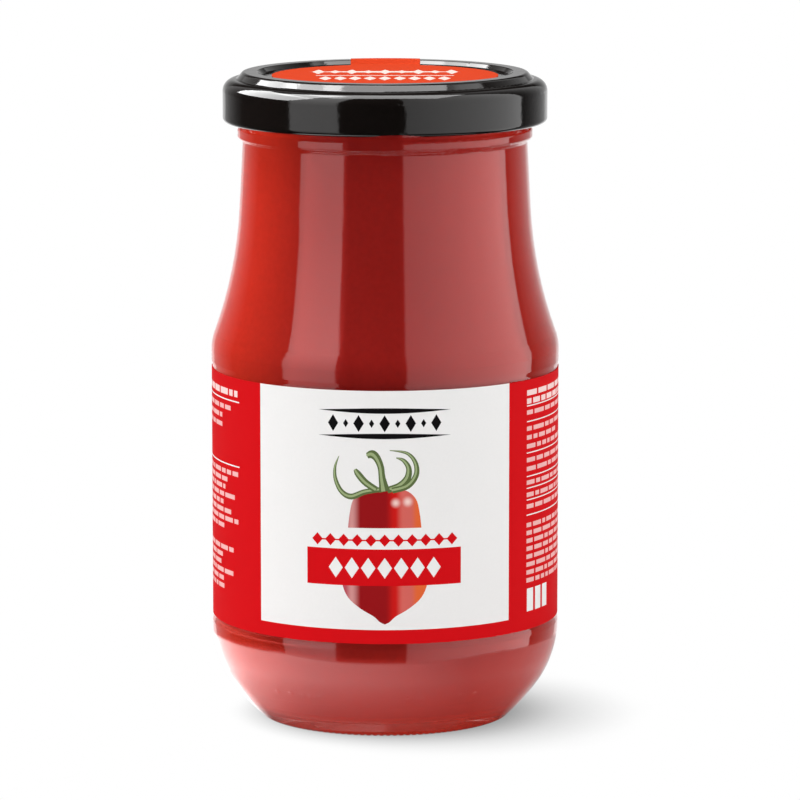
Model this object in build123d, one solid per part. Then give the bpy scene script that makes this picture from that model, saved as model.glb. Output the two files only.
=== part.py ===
from build123d import *

import os
from math import asin, atan2, cos, degrees, hypot, radians, sin, tan

# A jar of tomato passata with its twist-off lid, wrap label and lid seal, in millimetres.
# The origin is the middle of the foot, +Z is up, and the front of the label faces -Y.
# Outlines are half sections: x is the distance from the jar's axis and y is the height. A corner of
# an outline is (x, y, bend), where bend is the radius that rounds it.

# Jar body
body_radius = 35.55
wall = 2.8
floor_thickness = 3.0
floor_fall = 1.8  # of the inside floor from its middle to its edge
floor_run = 6.0  # over which it falls
floor_bend = 4.0
foot_inset = 10.05  # of the foot's edge from the body
foot_flare = 2.85
foot_rise = 2.75
foot_bend = 36.0
heel_height = 11.8
heel_bend = 21.5
heel_rise = 0.3  # plain glass between the heel's bend and the label's recess

# Shoulder and neck
shoulder_bend = 9.9
shoulder_rise = 2.1  # plain glass between the label's recess and the shoulder's bend
slope_height = 14.35
neck_wall = 2.85
neck_height = 41.1
neck_taper = 3.0

# Underside: the ring that the jar stands on, the hollow inside it and the grip notches round it
ring_width = 2.0
ring_corner = 0.9
push_up = 3.0
push_up_bend = 6.0
notch_count = 120
notch_width = 0.6
notch_depth = 0.3

# Raised dots round the heel, on its upper bend
dot_height = 9.15
dot_radius = 0.9
dot_relief = 0.2
dot_angles = (-41, -35, -30, -27, -23, -10.5, 8, 13, 27, 33)

# Label and the shallow recess that it lies in
label_height = 51.1
label_thickness = 0.15
label_gap = 8.0
recess_depth = 0.2
recess_slope = 1.0
recess_margin = 0.4
recess_bend = 1.5

# Mouth of the jar
bead_relief = 1.05
bead_height = 3.0
bead_bend = 0.6
finish_wall = 2.5
bore_radius = 26.1
rim_bend = 0.5
thread_starts = 4
thread_relief = 2.5
thread_thickness = 1.8
thread_span = 58.0
thread_pitch_angle = 2.5
thread_turn = 4.0  # how far the first thread and its lug stand to the right of the front

# Lid
lid_height = 10.15
lid_sheet = 0.3
lid_gap = 0.7  # between the bead and the lid's lower edge
skirt_gap = 1.6  # between the threads and the skirt
lid_corner_bend = 2.4
ledge_width = 2.8
ledge_drop = 1.35
crown_run = 1.25
crown_bend = 0.9
panel_drop = 0.85
panel_run = 0.8
curl_radius = 1.0
lug_span = 18.0
lug_thickness = 1.0
lug_air = 1.3  # between the lugs and the glass
lug_drop = 0.25  # of the lugs below the middle of the curled edge
lug_clearance = 0.15
lug_arch = 0.5
lug_arch_length = 12.0

# Paper seal: a disc on the lid with a strip that runs over the back of the lid to the neck
seal_radius = 23.0
seal_thickness = 0.1
strip_width = 14.4
strip_lean = 21.0  # of the strip's free run from the lid's edge in to the neck
strip_lap = 8.0  # of the strip down the neck

# Passata
headspace_lap = 1.8  # how far above the lid's lower edge the passata ends

# Radii that follow from the sizes above
foot_radius = body_radius - foot_inset
ring_inner = foot_radius - ring_width
recess_radius = body_radius - recess_depth
neck_radius = bore_radius + neck_wall
finish_radius = bore_radius + finish_wall
thread_radius = finish_radius + thread_relief
lid_radius = thread_radius + skirt_gap + lid_sheet
lug_reach = finish_radius + lug_air

# The shoulder slopes from the body in to the hollow at the foot of the neck
taper = tan(radians(neck_taper))
hollow_radius = neck_radius + (neck_height - slope_height) * taper
slope_length = hypot(body_radius - hollow_radius, slope_height)
shoulder_lean = degrees(atan2(body_radius - hollow_radius, slope_height))
shoulder_run = shoulder_bend * tan(radians(shoulder_lean / 2))

# The heel leans out from the foot to the body
heel_lean = degrees(atan2(foot_inset - foot_flare, heel_height - foot_rise))

# Heights that follow
heel_top = heel_height + heel_bend * tan(radians(heel_lean / 2))
recess_foot = heel_top + heel_rise
label_foot = recess_foot + recess_slope + recess_margin
label_top = label_foot + label_height
recess_top = label_top + recess_margin + recess_slope
shoulder_height = recess_top + shoulder_rise + shoulder_run
hollow_height = shoulder_height + slope_height
neck_top = shoulder_height + neck_height
bead_top = neck_top + bead_height
lid_foot = bead_top + lid_gap
lid_top = lid_foot + lid_height
rim_height = lid_top - lid_sheet
fill_height = lid_foot + headspace_lap
lug_foot = lid_foot + curl_radius - lug_drop
thread_height = lug_foot + lug_thickness + lug_clearance + thread_thickness / 2

# The hollow's bend takes what the shoulder's bend leaves of the slope, or what the neck has room for
hollow_run = 0.97 * min(slope_length - shoulder_run, neck_height - slope_height)
hollow_bend = hollow_run / tan(radians((shoulder_lean - neck_taper) / 2))


def parallel(corners, depth):
    """Corners of the line that runs to the left of an outline, at a depth from it."""
    points = [Vector(x, y) for x, y, bend in corners]
    ways = [(b - a).normalized() for a, b in zip(points, points[1:])]
    moved = []
    for i, (x, y, bend) in enumerate(corners):
        before, after = ways[max(i - 1, 0)], ways[min(i, len(ways) - 1)]
        left = Vector(-before.Y - after.Y, before.X + after.X)
        shift = left * (depth / (1 + before.dot(after)))
        turns_left = before.cross(after).Z > 0
        rounder = bend - depth if turns_left else bend + depth
        moved.append((x + shift.X, y + shift.Y, max(rounder, 0) if bend else 0))
    return moved


def path(corners):
    """The outline itself, with its corners rounded."""
    points = [(x, y) for x, y, bend in corners]
    return FilletPolyline(*points, radius=[bend for x, y, bend in corners[1:-1]])


def turned(corners, angle=360):
    """A solid turned about the jar's axis from a closed outline, starting at +X."""
    closed = path(corners) + Line(corners[-1][:2], corners[0][:2])
    return revolve(Plane.XZ * make_face(closed), Axis.Z, angle)


def jar_side():
    """The glass side from the foot up to the neck, without recess or bead."""
    return [
        (foot_radius, 0, 0),
        (foot_radius + foot_flare, foot_rise, foot_bend),
        (body_radius, heel_height, heel_bend),
        (body_radius, shoulder_height, shoulder_bend),
        (hollow_radius, hollow_height, hollow_bend),
        (neck_radius, neck_top, 0),
    ]


def inner_side(top):
    """The inside of the glass from the middle of the floor up to a height in the bore."""
    side = parallel(jar_side(), wall)
    low, high = side[1], side[2]
    middle = push_up + floor_thickness
    floor = middle - floor_fall
    fall_end = ring_inner - floor_bend / 2
    edge = low[0] + (floor - low[1]) * (high[0] - low[0]) / (high[1] - low[1])
    domed_floor = [
        (0, middle, 0),
        (fall_end - floor_run, middle, floor_bend),
        (fall_end, floor, floor_bend),
        (edge, floor, wall),
    ]
    return domed_floor + side[2:-1] + [(bore_radius, neck_top, 8.0), (bore_radius, top, 0)]


def glass_blank():
    """The turned glass: outside from the foot to the rim, back down the inside, and the push-up."""
    side = jar_side()
    foot, neck = side[0], side[-1]
    bead_radius = neck_radius + bead_relief
    recess = [
        (body_radius, recess_foot, recess_bend),
        (recess_radius, recess_foot + recess_slope, recess_bend),
        (recess_radius, recess_top - recess_slope, recess_bend),
        (body_radius, recess_top, recess_bend),
    ]
    mouth = [
        (neck_radius, neck_top, bead_bend),
        (bead_radius, neck_top + bead_bend, bead_bend),
        (bead_radius, bead_top - bead_bend, bead_bend),
        (finish_radius, bead_top, bead_bend),
        (finish_radius, rim_height, rim_bend),
        (bore_radius, rim_height, rim_bend),
    ]
    inside = inner_side(rim_height)[-2::-1]
    underside = [
        (0, push_up, 0),
        (ring_inner - push_up_bend, push_up, push_up_bend / 2),
        (ring_inner, 0, 0),
        (foot_radius, 0, ring_corner),
    ]
    outline = underside + side[1:3] + recess + side[3:-1] + mouth + inside
    return turned(outline)


def threads():
    """Short sloping ridges that the lid's lugs run under."""
    half = thread_thickness / 2
    ridge = [
        (finish_radius - 0.5, -half - 0.4, 0),
        (finish_radius, -half, 0),
        (thread_radius, -0.35 * thread_thickness, 0.4),
        (thread_radius, 0.2 * thread_thickness, 0.4),
        (finish_radius, half, 0),
        (finish_radius - 0.5, half + 0.4, 0),
    ]
    one = Rot(thread_pitch_angle, 0, 0) * Rot(0, 0, -thread_span / 2) * turned(ridge, thread_span)
    return [
        Pos(0, 0, thread_height) * Rot(0, 0, thread_turn - 90 + i * 360 / thread_starts) * one
        for i in range(thread_starts)
    ]


def foot_notches():
    """Grooves across the outer edge of the ring that the jar stands on."""
    length = 4.0
    groove = Box(length, notch_width, 2 * notch_depth)
    reach = foot_radius - ring_width / 2 + length / 2
    return [Rot(0, 0, i * 360 / notch_count) * Pos(reach, 0, 0) * groove for i in range(notch_count)]


def heel_dots():
    """Low rounded dots on the upper bend of the heel, uneven round the front."""
    fall = asin((heel_top - dot_height) / heel_bend)
    reach = heel_bend + dot_relief - dot_radius
    x = body_radius - heel_bend + reach * cos(fall)
    ball = Pos(x, 0, heel_top - reach * sin(fall)) * Sphere(dot_radius)
    return [Rot(0, 0, angle - 90) * ball for angle in dot_angles]


def glass_jar():
    glass = glass_blank() + threads() + heel_dots()
    return glass - foot_notches()


def passata():
    return turned(inner_side(fill_height) + [(0, fill_height, 0)])


def lid_outline():
    """The outside of the lid, from the top of its curled edge to the middle."""
    crown_edge = bore_radius - 0.1
    ledge_radius = lid_radius - ledge_width
    panel_top = lid_top - panel_drop
    return [
        (lid_radius, lid_foot + curl_radius, 0),
        (lid_radius, lid_top - ledge_drop, lid_corner_bend),
        (ledge_radius, lid_top - ledge_drop - 0.1, 0.5),
        (ledge_radius - crown_run, lid_top, crown_bend),
        (crown_edge, lid_top, 0.3),
        (crown_edge - panel_run, panel_top, 0.3),
        (0, panel_top, 0),
    ]


def lugs():
    """Pieces of the lower edge pressed inwards, which hold under the threads."""
    nose = 0.35
    section = [
        (lid_radius - curl_radius, lug_foot, 0),
        (lug_reach, lug_foot, nose),
        (lug_reach, lug_foot + lug_thickness, nose),
        (lid_radius - curl_radius, lug_foot + lug_thickness, 0),
    ]
    one = Rot(0, 0, -lug_span / 2) * turned(section, lug_span)
    arch_radius = lug_arch_length**2 / (8 * lug_arch)
    drum = Rot(0, 90, 0) * Cylinder(arch_radius, 8)
    arch = Pos(lid_radius - 2, 0, lid_foot + lug_arch - arch_radius) * drum
    turns = [Rot(0, 0, thread_turn - 90 + i * 360 / thread_starts) for i in range(thread_starts)]
    return [turn * one for turn in turns], [turn * arch for turn in turns]


def lid():
    outside = lid_outline()
    shell = turned(outside + parallel(outside, lid_sheet)[::-1])
    curl = Pos(0, 0, lid_foot + curl_radius) * Torus(lid_radius - curl_radius, curl_radius)
    tabs, arches = lugs()
    return shell + curl + tabs - arches


def label():
    """A paper wrap whose ends stop short of each other at the back."""
    outer = recess_radius + label_thickness
    section = [
        (recess_radius, label_foot, 0),
        (outer, label_foot, 0),
        (outer, label_top, 0),
        (recess_radius, label_top, 0),
    ]
    half_gap = 0.5 * label_gap / radians(1) / outer
    return Rot(0, 0, 90 + half_gap) * turned(section, 360 - 2 * half_gap)


def lid_seal():
    """One paper piece: the disc on the lid and the strip over the rim, down to the neck."""
    lean = tan(radians(strip_lean))
    leave = lid_foot + curl_radius * (1 - tan(radians(strip_lean / 2)))
    landing = (neck_radius + neck_top * taper - lid_radius + leave * lean) / (lean + taper)
    under = [
        (body_radius, shoulder_height, 0),
        (hollow_radius, hollow_height, hollow_bend),
        (neck_radius + (neck_top - landing) * taper, landing, 0),
        (lid_radius, leave, curl_radius),
    ] + lid_outline()[1:]
    paper = turned(under + parallel(under, -seal_thickness)[::-1])
    ending = landing - strip_lap
    height = lid_top + 1 - ending
    disc = Pos(0, 0, lid_top) * Cylinder(seal_radius, 2 * ledge_drop)
    strip = Pos(0, body_radius, ending + height / 2) * Box(strip_width, 2 * body_radius, height)
    return paper & (disc + strip)


os.makedirs("parts", exist_ok=True)
pieces = {
    "glass_jar": glass_jar,
    "passata": passata,
    "lid": lid,
    "label": label,
    "lid_seal": lid_seal,
}
for name, build in pieces.items():
    export_step(build(), f"parts/{name}.step")
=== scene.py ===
# A glass jar of tomato passata with a black twist-off lid, a wrap label and a paper seal.
# Lengths are metres in the frame; anything named ...Mm, and all the label's print, is in millimetres.
import bpy
import math
import random
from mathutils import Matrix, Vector
from mathutils.geometry import delaunay_2d_cdt


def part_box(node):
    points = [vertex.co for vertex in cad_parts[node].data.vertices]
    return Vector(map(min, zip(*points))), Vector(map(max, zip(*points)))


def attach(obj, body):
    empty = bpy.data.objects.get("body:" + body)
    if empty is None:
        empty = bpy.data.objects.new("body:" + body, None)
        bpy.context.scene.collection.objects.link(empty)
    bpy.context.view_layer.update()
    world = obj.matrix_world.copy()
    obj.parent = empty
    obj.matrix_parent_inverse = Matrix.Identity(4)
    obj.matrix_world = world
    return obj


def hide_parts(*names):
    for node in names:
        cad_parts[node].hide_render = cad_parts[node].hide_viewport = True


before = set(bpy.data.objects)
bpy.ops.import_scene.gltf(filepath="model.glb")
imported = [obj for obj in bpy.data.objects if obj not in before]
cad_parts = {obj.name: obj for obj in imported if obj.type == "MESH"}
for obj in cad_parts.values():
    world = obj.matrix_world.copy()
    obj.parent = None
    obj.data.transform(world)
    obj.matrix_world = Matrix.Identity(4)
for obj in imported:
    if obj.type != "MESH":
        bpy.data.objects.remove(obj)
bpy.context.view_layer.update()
mm = 0.001

labelLow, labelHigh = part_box("label")
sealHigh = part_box("lid_seal")[1]
print("frame loaded:", ", ".join(sorted(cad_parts)))


def linearColour(hexColour):
    # sRGB hex, as a colour picker shows it, turned into the linear values that shaders use
    shares = [int(hexColour[i:i + 2], 16) / 255 for i in (1, 3, 5)]
    return tuple(s / 12.92 if s <= 0.04045 else ((s + 0.055) / 1.055) ** 2.4 for s in shares) + (1.0,)


def addNode(tree, kind, values=None, links=None, **settings):
    # settings are the node's own fields, values go on its inputs, links come from other nodes' outputs
    node = tree.nodes.new(kind)
    for name, value in settings.items():
        setattr(node, name, value)
    for name, value in (values or {}).items():
        node.inputs[name].default_value = value
    for name, source in (links or {}).items():
        tree.links.new(source, node.inputs[name])
    return node


def emptyMaterial(name):
    material = bpy.data.materials.new(name)
    material.use_nodes = True
    material.node_tree.nodes.clear()
    return material, material.node_tree


def newPiece(name, points, faces, materials, faceSlots=None):
    mesh = bpy.data.meshes.new(name)
    mesh.from_pydata(points, [], faces)
    for material in materials:
        mesh.materials.append(material)
    if faceSlots:
        mesh.polygons.foreach_set("material_index", faceSlots)
    mesh.update()
    piece = bpy.data.objects.new(name, mesh)
    bpy.context.scene.collection.objects.link(piece)
    return piece


glassLook = {
    "tint": "#fbfefc",       # flint glass has only a breath of green
    "ior": 1.52,
    "roughness": 0.0,
    "waveMm": 14.0,          # width of the gentle waves that moulding leaves
    "waveDepth": 0.012,
}


def sodaLimeGlass(look):
    # Soda lime container glass, pressed and blown in a mould: clear, with hard highlights whose edges
    # wander a little.
    material, tree = emptyMaterial("sodaLimeGlass")
    place = addNode(tree, "ShaderNodeTexCoord")
    waves = addNode(tree, "ShaderNodeTexNoise", values={"Scale": 1 / (look["waveMm"] * mm), "Detail": 1.0},
                    links={"Vector": place.outputs["Object"]})
    bump = addNode(tree, "ShaderNodeBump", values={"Strength": look["waveDepth"], "Distance": mm},
                   links={"Height": waves.outputs["Fac"]})
    glass = addNode(tree, "ShaderNodeBsdfPrincipled",
                    values={"Base Color": linearColour(look["tint"]), "IOR": look["ior"],
                            "Roughness": look["roughness"], "Transmission Weight": 1.0},
                    links={"Normal": bump.outputs["Normal"]})
    # lamps and bounced light reach the contents straight through, as a thin clear wall lets them
    ray = addNode(tree, "ShaderNodeLightPath")
    passes = addNode(tree, "ShaderNodeMath", operation="MAXIMUM",
                     links={0: ray.outputs["Is Shadow Ray"], 1: ray.outputs["Is Diffuse Ray"]})
    clear = addNode(tree, "ShaderNodeBsdfTransparent", values={"Color": linearColour(look["tint"])})
    mix = addNode(tree, "ShaderNodeMixShader",
                  links={0: passes.outputs[0], 1: glass.outputs[0], 2: clear.outputs[0]})
    addNode(tree, "ShaderNodeOutputMaterial", links={"Surface": mix.outputs[0]})
    return material


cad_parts["glass_jar"].material_slots[0].material = sodaLimeGlass(glassLook)
print("glass: jar done")


passataLook = {
    "colour": "#951d19",
    "pulp": "#861815",
    "pulpMm": 1.1,           # size of the specks that the sieve lets through
    "subsurface": 0.3,
    "depthMm": 2.0,          # how far light wanders in it
    "depthByColour": (1.0, 0.35, 0.2),
    "roughness": 0.09,
    "ior": 1.5,
    "gloss": 0.85,           # strength of the wet mirror, where 0.5 is the plain strength for the ior
    "glossTint": "#ff5a56",  # the thin wet layer takes green and blue out of what it mirrors
    "reachMm": 0.2,          # how far it goes into the glass, so that no air shows between them
}


def sievedTomato(look):
    # Cooked sieved tomato: an opaque deep red that light enters a little way, wet against the glass.
    material, tree = emptyMaterial("sievedTomato")
    place = addNode(tree, "ShaderNodeTexCoord")
    pulp = addNode(tree, "ShaderNodeTexNoise", values={"Scale": 1 / (look["pulpMm"] * mm), "Detail": 3.0},
                   links={"Vector": place.outputs["Object"]})
    colour = addNode(tree, "ShaderNodeMix", data_type="RGBA",
                     values={6: linearColour(look["colour"]), 7: linearColour(look["pulp"])},
                     links={0: pulp.outputs["Fac"]})
    body = addNode(tree, "ShaderNodeBsdfPrincipled",
                   values={"Roughness": look["roughness"], "IOR": look["ior"],
                           "Specular IOR Level": look["gloss"],
                           "Specular Tint": linearColour(look["glossTint"]),
                           "Subsurface Weight": look["subsurface"],
                           "Subsurface Scale": look["depthMm"] * mm,
                           "Subsurface Radius": look["depthByColour"]},
                   links={"Base Color": colour.outputs[2]})
    addNode(tree, "ShaderNodeOutputMaterial", links={"Surface": body.outputs[0]})
    return material


def fillJar(look):
    # the contents as they lie in the glass, swollen so that they reach just into its wall
    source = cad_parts["passata"].data
    reach = look["reachMm"] * mm
    points = [v.co + v.normal * reach for v in source.vertices]
    faces = [tuple(p.vertices) for p in source.polygons]
    piece = newPiece("jarContents", points, faces, [sievedTomato(look)])
    piece.data.shade_smooth()
    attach(piece, "root")
    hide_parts("passata")
    return piece


contents = fillJar(passataLook)
print("passata: jar filled")


lidLook = {
    "colour": "#0b0807",
    "roughness": 0.07,
    "ior": 1.5,
    "peelMm": 1.6,           # orange peel of stoved lacquer
    "peelDepth": 0.02,
}


def stovedLacquer(look):
    # Black stoving lacquer on tinplate: deep black, with mirror-like lamps that its orange peel softens.
    material, tree = emptyMaterial("stovedLacquer")
    place = addNode(tree, "ShaderNodeTexCoord")
    peel = addNode(tree, "ShaderNodeTexNoise", values={"Scale": 1 / (look["peelMm"] * mm), "Detail": 2.0},
                   links={"Vector": place.outputs["Object"]})
    bump = addNode(tree, "ShaderNodeBump", values={"Strength": look["peelDepth"], "Distance": mm},
                   links={"Height": peel.outputs["Fac"]})
    body = addNode(tree, "ShaderNodeBsdfPrincipled",
                   values={"Base Color": linearColour(look["colour"]), "Roughness": look["roughness"],
                           "IOR": look["ior"]},
                   links={"Normal": bump.outputs["Normal"]})
    addNode(tree, "ShaderNodeOutputMaterial", links={"Surface": body.outputs[0]})
    return material


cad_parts["lid"].material_slots[0].material = stovedLacquer(lidLook)
print("lid: lacquered")


paperLook = {
    "roughness": 0.65,
    "sheen": 0.03,           # how strongly the varnish mirrors, where 0.5 is the full strength
    "ior": 1.5,
    "fibreMm": 0.5,          # real fibres are far finer: drawn this coarse so that they show at all
    "fibreDepth": 0.06,
    "fibreReliefMm": 0.1,
    "mottle": 0.35,          # how far the ink's tone wanders towards the second colour
}


def varnishedPrint(name, inkHex, wornHex, look):
    # Coated paper, offset printed and varnished: an even ink with a soft sheen over fine fibres.
    material, tree = emptyMaterial(name)
    place = addNode(tree, "ShaderNodeTexCoord")
    fibres = addNode(tree, "ShaderNodeTexNoise",
                     values={"Scale": 1 / (look["fibreMm"] * mm), "Detail": 4.0},
                     links={"Vector": place.outputs["Object"]})
    share = addNode(tree, "ShaderNodeMath", operation="MULTIPLY", values={1: look["mottle"]},
                    links={0: fibres.outputs["Fac"]})
    colour = addNode(tree, "ShaderNodeMix", data_type="RGBA",
                     values={6: linearColour(inkHex), 7: linearColour(wornHex)},
                     links={0: share.outputs[0]})
    bump = addNode(tree, "ShaderNodeBump",
                   values={"Strength": look["fibreDepth"], "Distance": look["fibreReliefMm"] * mm},
                   links={"Height": fibres.outputs["Fac"]})
    sheet = addNode(tree, "ShaderNodeBsdfPrincipled",
                    values={"Roughness": look["roughness"], "IOR": look["ior"],
                            "Specular IOR Level": look["sheen"]},
                    links={"Base Color": colour.outputs[2], "Normal": bump.outputs["Normal"]})
    addNode(tree, "ShaderNodeOutputMaterial", links={"Surface": sheet.outputs[0]})
    return material


# Outlines of the print: each is a list of (across, height) in millimetres.
def bar(left, right, foot, top):
    return [(left, foot), (right, foot), (right, top), (left, top)]


def lozenge(across, height, width, tall):
    return [(across - width / 2, height), (across, height - tall / 2),
            (across + width / 2, height), (across, height + tall / 2)]


def lozengeRow(ink, half, pitch, height, sizes):
    # as many lozenges on each side of the middle one as half says; their (width, height) take turns
    return [(ink, lozenge(i * pitch, height, *sizes[i % len(sizes)])) for i in range(-half, half + 1)]


def swelledRule(across, height, length, thick):
    # a line that is thickest in the middle and runs out to points
    steps = 12
    shares = [i / steps for i in range(steps + 1)]
    top = [(across + (s - 0.5) * length, height + thick / 2 * math.sin(math.pi * s)) for s in shares]
    return top + [(x, 2 * height - y) for x, y in top[-2:0:-1]]


def smoothLine(keys, steps=6):
    # a curve through every key point
    line = []
    for i in range(len(keys) - 1):
        before, start, end = keys[max(i - 1, 0)], keys[i], keys[i + 1]
        after = keys[min(i + 2, len(keys) - 1)]
        for j in range(steps):
            t = j / steps
            line.append(tuple(
                0.5 * (2 * b + (c - a) * t + (2 * a - 5 * b + 4 * c - d) * t * t
                       + (3 * b - a - 3 * c + d) * t ** 3)
                for a, b, c, d in zip(before, start, end, after)))
    return line + [tuple(keys[-1])]


def tendril(keys):
    # keys are (across, height, width) along the middle of a stalk or sepal
    line = smoothLine(keys)
    left, right = [], []
    for i, (x, y, width) in enumerate(line):
        ahead, behind = line[min(i + 1, len(line) - 1)], line[max(i - 1, 0)]
        way = Vector((ahead[0] - behind[0], ahead[1] - behind[1])).normalized()
        left.append((x - way.y * width / 2, y + way.x * width / 2))
        right.append((x + way.y * width / 2, y - way.x * width / 2))
    return left + right[::-1]


def wordLines(look, left, right, top, count, pitch, tall, seed, ragged):
    # small print shown as plain dashes, with no letters in it
    draw = random.Random(seed)
    dashes = []
    for row in range(count):
        height = top - row * pitch
        end = right - draw.uniform(0, ragged) * (right - left) * (row % look["fullRow"] != 0)
        across = left
        while across < end - look["leastRoomMm"]:
            length = min(draw.uniform(*look["dashMm"]), end - across)
            dashes.append(bar(across, across + length, height - tall, height))
            across += length + look["dashGapMm"]
    return dashes


labelLook = {
    # each ink: its colour and the second tone that it wanders towards
    "red": ("#cc0e15", "#c40c13"),
    "paper": ("#e9e8e7", "#dededd"),
    "black": ("#0d0c0d", "#161415"),
    "boldPrint": ("#eed0cd", "#e9c4c1"),
    "smallPrint": ("#e9b3b1", "#e2a5a3"),  # white letters so fine that the red shows between their strokes
    "stalk": ("#5b6b41", "#4a5836"),
    "stalkLight": ("#9aa97b", "#86976a"),
    "panelHalfMm": 27.6,     # from the front's middle to the white panel's edge, round the curve
    "bandMm": 2.85,          # red strip below the white panel
    "facetDegrees": 1.5,     # it bends round the jar in flat facets this wide
    "thicknessMm": 0.15,
    "gapMm": 8.0,            # between its two ends at the back
    # swelled rules at the head of the panel: across, height, length, thickness
    "headRules": [(0, 68.1, 27, 1.1), (0, 63.0, 27, 1.1)],
    # rows of lozenges: how many each side of the middle one, pitch, height, and sizes that take turns
    "headRow": (4, 2.6, 65.55, [(2.108, 3.4), (1.054, 1.7)]),
    "stripRow": (5, 2.75, 42.0, [(2.3, 2.5)]),
    "bandRow": (3, 3.3, 36.4, [(2.9, 4.2)]),
    # bars across the tomato: left, right, foot, top
    "whiteStrip": (-15.6, 15.6, 40.2, 44.5),
    "redLine": (-14.8, 14.8, 41.85, 42.15),
    "redBand": (-16.0, 15.7, 32.8, 40.2),
    "weightBar": (33.4, 35.7, 24.7, 29.4),  # the first upright bar, where the weight stands
    "weightBars": 3,
    "weightPitchMm": 3.1,
    "dashMm": (1.2, 4.6),    # the shortest and the longest dash of small print
    "dashGapMm": 0.65,
    "leastRoomMm": 1.0,      # a row ends where less than this is left of it
    "fullRow": 3,            # one row in this many runs its full width
    # small print: left, right, top, rows, pitch, height of a row, seed, how ragged its right edge is
    "boldBlocks": [(-66, -34.5, 69.6, 1, 2.0, 1.3, 1, 0.0), (33.2, 70, 70.0, 2, 1.7, 1.1, 5, 0.1)],
    "smallBlocks": [
        (-66, -38, 66.2, 3, 1.9, 0.95, 2, 0.25), (-66, -35, 53.0, 8, 1.62, 0.95, 3, 0.25),
        (-66, -37, 37.2, 6, 1.62, 0.95, 4, 0.25), (33.2, 62, 65.9, 1, 1.8, 0.9, 65, 0.5),
        (33.2, 62, 62.6, 3, 1.8, 0.9, 62, 0.5), (33.2, 62, 56.2, 2, 1.8, 0.9, 56, 0.5),
        (33.2, 62, 51.6, 1, 1.8, 0.9, 51, 0.5), (33.2, 62, 49.1, 1, 1.8, 0.9, 49, 0.5),
        (33.2, 62, 46.7, 1, 1.8, 0.9, 46, 0.5), (33.2, 70, 42.9, 8, 1.62, 0.9, 7, 0.25),
        (76, 100, 66.0, 18, 2.0, 0.8, 8, 0.25), (-100, -76, 66.0, 18, 2.0, 0.8, 9, 0.25),
    ],
    # thin rules between the blocks: left, right, thickness and the heights that they stand at
    "rules": [(33.2, 70, 0.22, (66.7, 63.5, 57.1, 52.3, 49.9, 47.5, 44.4)),
              (-66, -34.5, 0.25, (67.2, 54.0))],
}
planScale = 100              # millimetres of print to one unit of the printPlan coordinates
mergeMm = 1e-5               # print points closer than this are one point
labelRadiusMm = labelHigh.x / mm
labelFootMm, labelTopMm = labelLow.z / mm, labelHigh.z / mm


def onLabel(across, height, lift):
    # a point of the flat print wrapped round the jar, lift millimetres outside the label's face
    angle = across / labelRadiusMm
    radius = (labelRadiusMm + lift) * mm
    return (radius * math.sin(angle), -radius * math.cos(angle), height * mm)


def facing(across):
    angle = across / labelRadiusMm
    return (math.sin(angle), -math.cos(angle), 0.0)


def labelEndMm(look):
    # from the front's middle to the label's edge at the back, round the curve
    return math.pi * labelRadiusMm - look["gapMm"] / 2


def printedSheet(name, inks, fields, guides, place, outward, thickness):
    # One closed sheet of paper cut along every outline of its print: later fields lie over earlier ones,
    # and each face takes the ink of the last field that covers it.
    points, edges, outlines = [], [], []
    for _, outline in fields:
        turning = sum(a[0] * b[1] - b[0] * a[1] for a, b in zip(outline, outline[1:] + outline[:1]))
        corners = list(range(len(points), len(points) + len(outline)))
        outlines.append(corners if turning > 0 else corners[::-1])
        points += [Vector(p) for p in outline]
    for start, end in guides:
        edges.append((len(points), len(points) + 1))
        points += [Vector(start), Vector(end)]
    insideOnly = 1  # asks for only the faces that lie within an outline
    flat, _, faces, _, _, owners = delaunay_2d_cdt(points, edges, outlines, insideOnly, mergeMm, True)
    inkNames = list(inks)
    faces = [face for face, owner in zip(faces, owners) if owner]
    slots = [inkNames.index(fields[max(owner)][0]) for owner in owners if owner]
    count = len(flat)
    front = [place(p.x, p.y, 0.0) for p in flat]
    back = [place(p.x, p.y, -thickness) for p in flat]
    sides = {}  # whether each side belongs to one face alone, which puts it on the sheet's rim
    for face in faces:
        for a, b in zip(face, face[1:] + face[:1]):
            sides[(a, b)] = (b, a) not in sides
            if not sides[(a, b)]:
                sides[(b, a)] = False
    rims = [side for side, single in sides.items() if single]
    allFaces = [tuple(f) for f in faces] + [tuple(i + count for i in f[::-1]) for f in faces]
    allFaces += [(b, a, a + count, b + count) for a, b in rims]
    piece = newPiece(name, front + back, allFaces, [inks[n] for n in inkNames],
                     slots + slots + [0] * len(rims))
    plan = piece.data.uv_layers.new(name="printPlan")
    normals = []
    for loop in piece.data.loops:
        p = flat[loop.vertex_index % count]
        plan.data[loop.index].uv = (p.x / planScale, p.y / planScale)
    for polygon in piece.data.polygons:
        for vertex in polygon.vertices:
            way = Vector(outward(flat[vertex % count].x))
            if polygon.index < len(faces):
                normals.append(way)
            elif polygon.index < 2 * len(faces):
                normals.append(-way)
            else:
                normals.append(polygon.normal.copy())
    piece.data.normals_split_custom_set(normals)
    return piece


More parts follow.
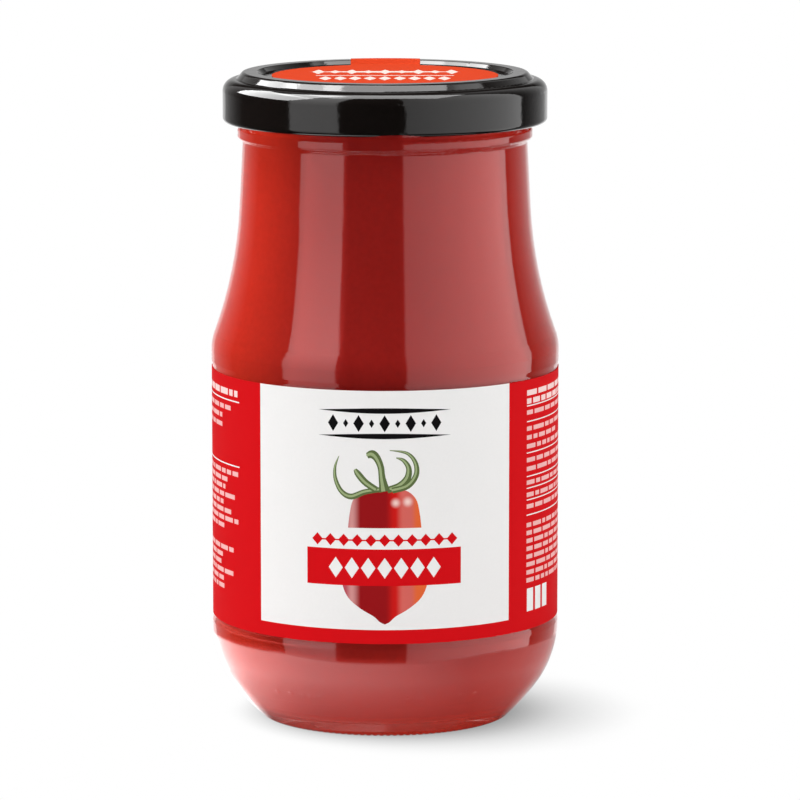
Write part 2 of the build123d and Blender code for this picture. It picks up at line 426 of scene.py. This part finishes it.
tomatoLook = {
    "side": "#b04a55",       # the left edge
    "sheen": "#c98b89",      # soft light just inside it
    "deep": "#8f1317",
    "bright": "#c41a17",
    "pale": "#cd625a",       # a second soft light, on the right
    "edge": "#dc6434",       # orange right edge
    "highlight": "#f3ddd5",
    "halfMm": 8.5,           # half the width that the shading is spread over
    # where each colour stands in that width, from 0 at the left to 1 at the right
    "stops": [(0.03, "side"), (0.11, "sheen"), (0.22, "deep"), (0.50, "deep"), (0.62, "bright"),
              (0.72, "pale"), (0.80, "pale"), (0.89, "edge")],
    "lamps": [(2.2, 49.6, 1.3), (4.6, 49.8, 1.4)],  # across, height and radius of each light on the skin
    "lampShare": 0.8,        # how much of the red each one covers at its middle
    # outline of its right half, from the tip up: across, height
    "rightSide": [(0, 25.0), (1.0, 25.5), (2.2, 26.6), (4.9, 28.2), (7.4, 30.4), (8.6, 33.4), (8.5, 37.5),
                  (7.5, 43.5), (7.0, 47.5), (6.3, 50.2), (4.6, 51.9), (2.0, 52.5), (0, 52.4)],
    # sepals and stalk, each along its middle: across, height, width
    "calyx": [
        [(-1.0, 52.3, 1.0), (-4.0, 51.8, 1.1), (-6.7, 50.8, 1.2), (-8.7, 51.8, 1.0), (-9.9, 54.2, 0.8),
         (-10.0, 56.6, 0.55), (-9.2, 58.9, 0.15)],
        [(-1.6, 52.2, 1.3), (-3.8, 53.7, 1.35), (-5.3, 55.4, 1.3), (-5.9, 56.3, 0.7)],
        [(0.5, 52.2, 1.3), (2.9, 53.0, 1.4), (4.5, 54.5, 1.4), (4.8, 56.5, 1.1), (3.8, 58.1, 0.8),
         (2.3, 58.7, 0.2)],
        [(1.5, 52.1, 1.2), (4.6, 53.0, 1.2), (6.3, 55.2, 1.1), (6.1, 57.7, 0.9), (4.4, 59.6, 0.6),
         (1.0, 60.2, 0.15)],
        [(0.0, 51.9, 2.2), (-0.5, 54.6, 1.4), (-0.8, 56.9, 1.3), (-1.6, 58.7, 1.5), (-2.5, 59.4, 1.7),
         (-3.5, 59.1, 1.1)],
    ],
    # a pale line along each, left of its middle and above it; shares are of the width there
    "paleShiftShare": 0.12,
    "paleLiftMm": 0.05,
    "paleWidthShare": 0.36,
}


def tomatoInk(look):
    # The printed tomato: shaded inks on the same varnished paper.
    material, tree = emptyMaterial("tomatoInk")
    plan = addNode(tree, "ShaderNodeUVMap", uv_map="printPlan")
    axes = addNode(tree, "ShaderNodeSeparateXYZ", links={0: plan.outputs[0]})
    half = look["halfMm"] / planScale
    across = addNode(tree, "ShaderNodeMapRange", values={"From Min": -half, "From Max": half},
                     links={"Value": axes.outputs["X"]})
    ramp = addNode(tree, "ShaderNodeValToRGB", links={"Fac": across.outputs[0]})
    ramp.color_ramp.interpolation = "EASE"
    while len(ramp.color_ramp.elements) < len(look["stops"]):
        ramp.color_ramp.elements.new(0.5)
    for element, (position, colour) in zip(ramp.color_ramp.elements, look["stops"]):
        element.position = position
        element.color = linearColour(look[colour])
    colour = ramp.outputs["Color"]
    for x, y, size in look["lamps"]:
        distance = addNode(tree, "ShaderNodeVectorMath", operation="DISTANCE",
                           values={1: (x / planScale, y / planScale, 0)}, links={0: plan.outputs[0]})
        glow = addNode(tree, "ShaderNodeMapRange", interpolation_type="SMOOTHSTEP",
                       values={"From Min": 0.0, "From Max": size / planScale,
                               "To Min": look["lampShare"], "To Max": 0.0},
                       links={"Value": distance.outputs["Value"]})
        colour = addNode(tree, "ShaderNodeMix", data_type="RGBA",
                         values={7: linearColour(look["highlight"])},
                         links={0: glow.outputs[0], 6: colour}).outputs[2]
    sheet = addNode(tree, "ShaderNodeBsdfPrincipled",
                    values={"Roughness": paperLook["roughness"], "IOR": paperLook["ior"],
                            "Specular IOR Level": paperLook["sheen"]},
                    links={"Base Color": colour})
    addNode(tree, "ShaderNodeOutputMaterial", links={"Surface": sheet.outputs[0]})
    return material


def drawTomato(look):
    # the fruit, then its sepals and stalk, each with a pale line along it
    side = smoothLine(look["rightSide"], steps=4)
    fields = [("tomato", side + [(-x, y) for x, y in side[-2:0:-1]])]
    for keys in look["calyx"]:
        pale = [(x - look["paleShiftShare"] * width, y + look["paleLiftMm"],
                 look["paleWidthShare"] * width) for x, y, width in keys]
        fields += [("stalk", tendril(keys)), ("stalkLight", tendril(pale))]
    return fields


def labelFields(look):
    half = look["panelHalfMm"]
    end = labelEndMm(look)
    fields = [("red", bar(-end, end, labelFootMm, labelTopMm)),
              ("paper", bar(-half, half, labelFootMm + look["bandMm"], labelTopMm))]
    fields += [("black", swelledRule(*rule)) for rule in look["headRules"]]
    fields += lozengeRow("black", *look["headRow"])
    fields += drawTomato(tomatoLook)

    # a white strip and a red band cross the tomato
    fields += [("paper", bar(*look["whiteStrip"])), ("red", bar(*look["redLine"]))]
    fields += lozengeRow("red", *look["stripRow"])
    fields.append(("red", bar(*look["redBand"])))
    fields += lozengeRow("paper", *look["bandRow"])

    # small print on the red sides
    for ink, blocks in (("boldPrint", look["boldBlocks"]), ("smallPrint", look["smallBlocks"])):
        for block in blocks:
            fields += [(ink, dash) for dash in wordLines(look, *block)]
    for left, right, thick, heights in look["rules"]:
        fields += [("paper", bar(left, right, height, height + thick)) for height in heights]
    left, right, foot, top = look["weightBar"]
    for i in range(look["weightBars"]):
        step = i * look["weightPitchMm"]
        fields.append(("paper", bar(left + step, right + step, foot, top)))
    return fields


def wrapLabel(look):
    inks = {
        "red": varnishedPrint("redInk", *look["red"], paperLook),
        "paper": varnishedPrint("coatedPaper", *look["paper"], paperLook),
        "black": varnishedPrint("blackInk", *look["black"], paperLook),
        "boldPrint": varnishedPrint("boldPrint", *look["boldPrint"], paperLook),
        "smallPrint": varnishedPrint("smallPrint", *look["smallPrint"], paperLook),
        "tomato": tomatoInk(tomatoLook),
        "stalk": varnishedPrint("stalkInk", *look["stalk"], paperLook),
        "stalkLight": varnishedPrint("stalkLightInk", *look["stalkLight"], paperLook),
    }
    step = math.radians(look["facetDegrees"]) * labelRadiusMm
    end = labelEndMm(look)
    guides = []
    for i in range(-int(end / step), int(end / step) + 1):
        guides.append(((i * step, labelFootMm), (i * step, labelTopMm)))
    piece = printedSheet("wrapLabel", inks, labelFields(look), guides, onLabel, facing, look["thicknessMm"])
    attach(piece, "root")
    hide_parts("label")
    return piece


wrap = wrapLabel(labelLook)
print("label: printed and wrapped")


sealLook = {
    "red": ("#d94624", "#cf3f20"),
    "white": ("#f0ded6", "#eadad2"),
    "printLiftMm": 0.02,
    "dropMm": 0.85,          # the disc lies this far below the top of the paper over the lid's crown
    # its print, from the disc's middle: a swelled rule, rows of lozenges and a bar, given as on the label
    "headRule": (0, 6.6, 31, 3.2),
    "headRow": (4, 3.4, 6.6, [(2.6, 9.5), (2.6, 6.0)]),
    "line": (-14, 14, -1.9, -0.9),
    "footRow": (4, 3.0, -7.6, [(2.6, 8.0)]),
}


def pasteSeal(look):
    paper = varnishedPrint("sealPaper", *look["red"], paperLook)
    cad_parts["lid_seal"].material_slots[0].material = paper
    inks = {"white": varnishedPrint("sealWhiteInk", *look["white"], paperLook)}
    fields = [("white", swelledRule(*look["headRule"]))]
    fields += lozengeRow("white", *look["headRow"])
    fields.append(("white", bar(*look["line"])))
    fields += lozengeRow("white", *look["footRow"])
    face = sealHigh.z / mm - look["dropMm"]

    def onDisc(across, height, lift):
        return (across * mm, height * mm, (face + look["printLiftMm"] + lift) * mm)

    piece = printedSheet("sealPrint", inks, fields, [], onDisc, lambda across: (0, 0, 1),
                         look["printLiftMm"] / 2)
    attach(piece, "root")
    return piece


pasteSeal(sealLook)
print("seal: pasted")


studioLook = {
    # what the gloss sees of the room, by the angle round from the front (+ to the right) and the height
    # above the horizon; light is (at the first angle, at the last angle), climb is its gain for each
    # degree up
    "leftBox": {"round": (-71, -33), "height": (-40, 60), "light": (1.55, 1.55), "climb": 0.024},
    "rightBox": {"round": (14.5, 113), "height": (-40, 60), "light": (0.9, 2.1), "climb": 0.0},
    "backdrop": {"round": (157, 203), "height": (-40, 60), "light": (0.68, 0.68), "climb": -0.036},
    "leftWall": {"round": (-157, -122), "height": (-40, 60), "light": (0.45, 0.02), "climb": 0.0},
    "rightWall": {"round": (113, 157), "height": (-40, 60), "light": (0.02, 0.6), "climb": 0.0},
    "keyBox": {"round": (-120, -68), "height": (46, 74), "light": (11.0, 11.0), "climb": 0.0},
    "ceiling": 0.25,
    "ceilingFrom": 62,
    "ceilingTo": 95,         # past the zenith, so that it has no edge there
    "dark": 0.02,            # what is left of light everywhere else
    "softDegrees": 1.2,      # half width of the boxes' soft edges at their sides
    "softUpright": 4.8,      # and at their top and bottom
}


def angleBand(tree, angle, low, high, soft):
    # 1 between two angles in degrees and 0 outside them, with soft edges
    rise = addNode(tree, "ShaderNodeMapRange", interpolation_type="SMOOTHSTEP",
                   values={"From Min": low - soft, "From Max": low + soft}, links={"Value": angle})
    fall = addNode(tree, "ShaderNodeMapRange", interpolation_type="SMOOTHSTEP",
                   values={"From Min": high - soft, "From Max": high + soft, "To Min": 1.0, "To Max": 0.0},
                   links={"Value": angle})
    return addNode(tree, "ShaderNodeMath", operation="MULTIPLY",
                   links={0: rise.outputs[0], 1: fall.outputs[0]}).outputs[0]


def angleRound(tree, axes):
    # degrees round the jar from the front, + to the right, for a direction or a place
    towards = addNode(tree, "ShaderNodeMath", operation="MULTIPLY", values={1: -1.0},
                      links={0: axes.outputs["Y"]})
    turn = addNode(tree, "ShaderNodeMath", operation="ARCTAN2",
                   links={0: axes.outputs["X"], 1: towards.outputs[0]})
    return addNode(tree, "ShaderNodeMath", operation="DEGREES", links={0: turn.outputs[0]}).outputs[0]


def lightStudio(look):
    world = bpy.data.worlds.new("studio")
    bpy.context.scene.world = world
    world.use_nodes = True
    tree = world.node_tree
    tree.nodes.clear()
    way = addNode(tree, "ShaderNodeTexCoord")
    axes = addNode(tree, "ShaderNodeSeparateXYZ", links={0: way.outputs["Generated"]})
    roundAngle = angleRound(tree, axes)
    rise = addNode(tree, "ShaderNodeMath", operation="ARCSINE", links={0: axes.outputs["Z"]})
    heightAngle = addNode(tree, "ShaderNodeMath", operation="DEGREES",
                          links={0: rise.outputs[0]}).outputs[0]
    # the backdrop lies across the seam of the angle, so its angle counts from 0 to 360
    wrapped = addNode(tree, "ShaderNodeMath", operation="FLOORED_MODULO", values={1: 360.0},
                      links={0: roundAngle}).outputs[0]
    soft = look["softDegrees"]
    top = angleBand(tree, heightAngle, look["ceilingFrom"], look["ceilingTo"], look["softUpright"])
    total = addNode(tree, "ShaderNodeMath", operation="MULTIPLY_ADD",
                    values={1: look["ceiling"], 2: look["dark"]}, links={0: top}).outputs[0]
    for name in ("leftBox", "rightBox", "backdrop", "leftWall", "rightWall", "keyBox"):
        box = look[name]
        angle = wrapped if name == "backdrop" else roundAngle
        across = angleBand(tree, angle, *box["round"], soft)
        upright = angleBand(tree, heightAngle, *box["height"], look["softUpright"])
        shade = addNode(tree, "ShaderNodeMapRange",
                        values={"From Min": box["round"][0], "From Max": box["round"][1],
                                "To Min": box["light"][0], "To Max": box["light"][1]},
                        links={"Value": angle})
        rising = addNode(tree, "ShaderNodeMath", operation="MULTIPLY_ADD", values={1: box["climb"]},
                         links={0: heightAngle, 2: shade.outputs[0]})
        plain = addNode(tree, "ShaderNodeMath", operation="MAXIMUM", values={1: 0.0},
                        links={0: rising.outputs[0]})
        window = addNode(tree, "ShaderNodeMath", operation="MULTIPLY", links={0: across, 1: upright})
        lit = addNode(tree, "ShaderNodeMath", operation="MULTIPLY",
                      links={0: window.outputs[0], 1: plain.outputs[0]})
        total = addNode(tree, "ShaderNodeMath", operation="ADD",
                        links={0: total, 1: lit.outputs[0]}).outputs[0]
    ray = addNode(tree, "ShaderNodeLightPath")
    strength = addNode(tree, "ShaderNodeMix", data_type="FLOAT", values={3: 1.0},
                       links={0: ray.outputs["Is Camera Ray"], 2: total})
    sky = addNode(tree, "ShaderNodeBackground", values={"Color": (1, 1, 1, 1)},
                  links={"Strength": strength.outputs[0]})
    addNode(tree, "ShaderNodeOutputWorld", links={"Surface": sky.outputs[0]})


lightStudio(studioLook)
print("studio: lit")


glowLook = {
    # each lamp: degrees round from the front, degrees above the horizon, strength
    "lamps": {"glowLeft": (-118, 8, 10.7), "glowRight": (112, 8, 2.8), "glowBelow": (0, -89, 4.0)},
    # linear red, green and blue: short of red and blue, so that the red contents turn to orange in it
    "colour": (0.78, 1.0, 0.42),
    "softDegrees": 20,       # how wide each lamp looks from the jar
}
lidLampLook = {
    # each lamp: degrees round, degrees above the horizon, width and height in metres, watts
    "lamps": {"lidLeft": (-101, 32, 1.15, 0.66, 26.0), "lidTop": (0, 84, 1.1, 0.7, 14.0)},
    "awayM": 1.0,
    "heightM": 0.13,         # of the point that they look at, the lid
}


def hangLamp(name, kind, roundAngle, heightAngle, receivers):
    # a lamp that looks at the jar's axis and lights only its receivers; the second value is the way to it
    lamp = bpy.data.objects.new(name, bpy.data.lights.new(name, kind))
    bpy.context.scene.collection.objects.link(lamp)
    turn, rise = math.radians(roundAngle), math.radians(heightAngle)
    way = Vector((math.sin(turn) * math.cos(rise), -math.cos(turn) * math.cos(rise), math.sin(rise)))
    lamp.rotation_euler = way.to_track_quat("Z", "Y").to_euler()
    lamp.light_linking.receiver_collection = receivers
    return lamp, way


def lightEdges(look, lit, cover):
    # The glass gathers light from behind and from the floor into the edges of its contents: lamps that
    # reach only them, and that only the label covers.
    receivers = bpy.data.collections.new("glowReceivers")
    receivers.objects.link(lit)
    covers = bpy.data.collections.new("glowCovers")
    covers.objects.link(cover)
    for name, (roundAngle, heightAngle, strength) in look["lamps"].items():
        lamp, _ = hangLamp(name, "SUN", roundAngle, heightAngle, receivers)
        lamp.data.energy = strength
        lamp.data.color = look["colour"]
        lamp.data.angle = math.radians(look["softDegrees"])
        lamp.visible_glossy = False
        lamp.light_linking.blocker_collection = covers


def lightLid(look, lid):
    # Soft boxes at the left and overhead that draw the bright bands on the lacquered lid.
    receivers = bpy.data.collections.new("lidReceivers")
    receivers.objects.link(lid)
    for name, (roundAngle, heightAngle, width, tall, watts) in look["lamps"].items():
        lamp, way = hangLamp(name, "AREA", roundAngle, heightAngle, receivers)
        lamp.location = way * look["awayM"] + Vector((0, 0, look["heightM"]))
        lamp.data.shape = "RECTANGLE"
        lamp.data.size = width
        lamp.data.size_y = tall
        lamp.data.energy = watts
        lamp.visible_camera = False


lightEdges(glowLook, contents, wrap)
lightLid(lidLampLook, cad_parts["lid"])
print("lamps: hung")


floorLook = {
    "halfM": 6.0,
    "colour": "#f0f0f0",
    "glossReachMm": (73, 84),  # how far out the gloss sees it, in front and at the sides
    "glossTurn": (20, 60),     # degrees round over which the first reach passes into the second
    "glossEdgeMm": 5,          # how softly it ends there
    # the floor's light in the gloss is painted: a glow brightest on the left, with painted shade at the
    # jar's foot
    "glossSides": (-60, 42),   # degrees round over which its light changes from left to right
    "glossLeft": 2.8,          # its light in the gloss at the left
    "glossRight": 0.72,        # and at the right
    "footShadow": 0.05,        # what is left of that light at the jar's foot
    "footMm": (26, 46),        # from the jar's axis, where it starts to come back and where it is whole
    "footOpen": (62, 98),      # degrees round from the front over which light comes in behind the foot
    "footLight": 0.85,         # how much of it
    # the shadow below is painted into the floor's glow, from how much open sky a leaning occlusion finds
    "shadowMm": 40,            # how far the soft shadow reaches
    "shadowLean": (-0.52, 0.08, 0.85),  # towards the light, left and a little behind
    "shadowTone": (0.25, 1.0),  # the floor's white where no sky reaches it, and where enough does
    "shadowOpen": 0.70,        # the share of open sky that is enough
}


def layFloor(look):
    size = look["halfM"]
    piece = newPiece("floor", [(-size, -size, 0), (size, -size, 0), (size, size, 0), (-size, size, 0)],
                     [(0, 1, 2, 3)], [])
    material, tree = emptyMaterial("paleFloor")
    # Matt white board that lights the jar from below.
    board = addNode(tree, "ShaderNodeBsdfDiffuse", values={"Color": linearColour(look["colour"])})
    # To the camera, and through the glass, it glows white with a painted soft neutral shadow,
    # longest on the right, drawn from how much open sky a leaning occlusion finds.
    lean = addNode(tree, "ShaderNodeCombineXYZ", values=dict(zip("XYZ", look["shadowLean"])))
    openSky = addNode(tree, "ShaderNodeAmbientOcclusion", values={"Distance": look["shadowMm"] * mm},
                      links={"Normal": lean.outputs[0]}, samples=32)
    tone = addNode(tree, "ShaderNodeMapRange",
                   values={"From Min": 0.0, "From Max": look["shadowOpen"],
                           "To Min": look["shadowTone"][0], "To Max": look["shadowTone"][1]},
                   links={"Value": openSky.outputs["AO"]})
    seen = addNode(tree, "ShaderNodeEmission", links={"Strength": tone.outputs[0]})
    # The gloss sees it only round the jar, as a painted glow, brightest on the left,
    # with painted shade at the jar's foot.
    place = addNode(tree, "ShaderNodeTexCoord")
    away = addNode(tree, "ShaderNodeVectorMath", operation="LENGTH", links={0: place.outputs["Object"]})
    axes = addNode(tree, "ShaderNodeSeparateXYZ", links={0: place.outputs["Object"]})
    angle = angleRound(tree, axes)
    side = addNode(tree, "ShaderNodeMath", operation="ABSOLUTE", links={0: angle})
    near, wide = look["glossReachMm"]
    start, end = look["glossTurn"]
    reach = addNode(tree, "ShaderNodeMapRange",
                    values={"From Min": start, "From Max": end, "To Min": near * mm, "To Max": wide * mm},
                    links={"Value": side.outputs[0]})
    past = addNode(tree, "ShaderNodeMath", operation="SUBTRACT",
                   links={0: away.outputs["Value"], 1: reach.outputs[0]})
    edge = look["glossEdgeMm"] * mm
    far = addNode(tree, "ShaderNodeMapRange", interpolation_type="SMOOTHSTEP",
                  values={"From Min": -edge, "From Max": edge}, links={"Value": past.outputs[0]})
    left, right = look["glossSides"]
    lit = addNode(tree, "ShaderNodeMapRange",
                  values={"From Min": left, "From Max": right,
                          "To Min": look["glossLeft"], "To Max": look["glossRight"]},
                  links={"Value": angle})
    low, high = look["footMm"]
    foot = addNode(tree, "ShaderNodeMapRange",
                   values={"From Min": low * mm, "From Max": high * mm, "To Min": look["footShadow"]},
                   links={"Value": away.outputs["Value"]})
    first, last = look["footOpen"]
    behind = addNode(tree, "ShaderNodeMapRange",
                     values={"From Min": first, "From Max": last, "To Max": look["footLight"]},
                     links={"Value": side.outputs[0]})
    reached = addNode(tree, "ShaderNodeMath", operation="MAXIMUM",
                      links={0: foot.outputs[0], 1: behind.outputs[0]})
    strength = addNode(tree, "ShaderNodeMath", operation="MULTIPLY",
                       links={0: lit.outputs[0], 1: reached.outputs[0]})
    glow = addNode(tree, "ShaderNodeEmission", links={"Strength": strength.outputs[0]})
    gone = addNode(tree, "ShaderNodeBsdfTransparent")
    mirrored = addNode(tree, "ShaderNodeMixShader",
                       links={0: far.outputs[0], 1: glow.outputs[0], 2: gone.outputs[0]})
    ray = addNode(tree, "ShaderNodeLightPath")
    looked = addNode(tree, "ShaderNodeMath", operation="MAXIMUM",
                     links={0: ray.outputs["Is Camera Ray"], 1: ray.outputs["Is Transmission Ray"]})
    plain = addNode(tree, "ShaderNodeMixShader",
                    links={0: looked.outputs[0], 1: board.outputs[0], 2: seen.outputs[0]})
    mix = addNode(tree, "ShaderNodeMixShader",
                  links={0: ray.outputs["Is Glossy Ray"], 1: plain.outputs[0], 2: mirrored.outputs[0]})
    addNode(tree, "ShaderNodeOutputMaterial", links={"Surface": mix.outputs[0]})
    piece.data.materials.append(material)


layFloor(floorLook)
print("floor: laid")


cameraLook = {
    "asideM": 0.00304,
    "backM": 1.03655,
    "upM": 0.22818,
    "lookDown": 8.961,       # degrees below level
    "lensMm": 230.3,
    "sensorMm": 36.0,
    "nearestM": 0.05,
}
camera = bpy.data.objects.new("camera", bpy.data.cameras.new("camera"))
bpy.context.scene.collection.objects.link(camera)
camera.location = (cameraLook["asideM"], -cameraLook["backM"], cameraLook["upM"])
camera.rotation_euler = (math.radians(90 - cameraLook["lookDown"]), 0, 0)
camera.data.lens = cameraLook["lensMm"]
camera.data.sensor_width = cameraLook["sensorMm"]
camera.data.clip_start = cameraLook["nearestM"]
bpy.context.scene.camera = camera
bpy.context.scene.view_settings.view_transform = "Standard"
print("camera: set")
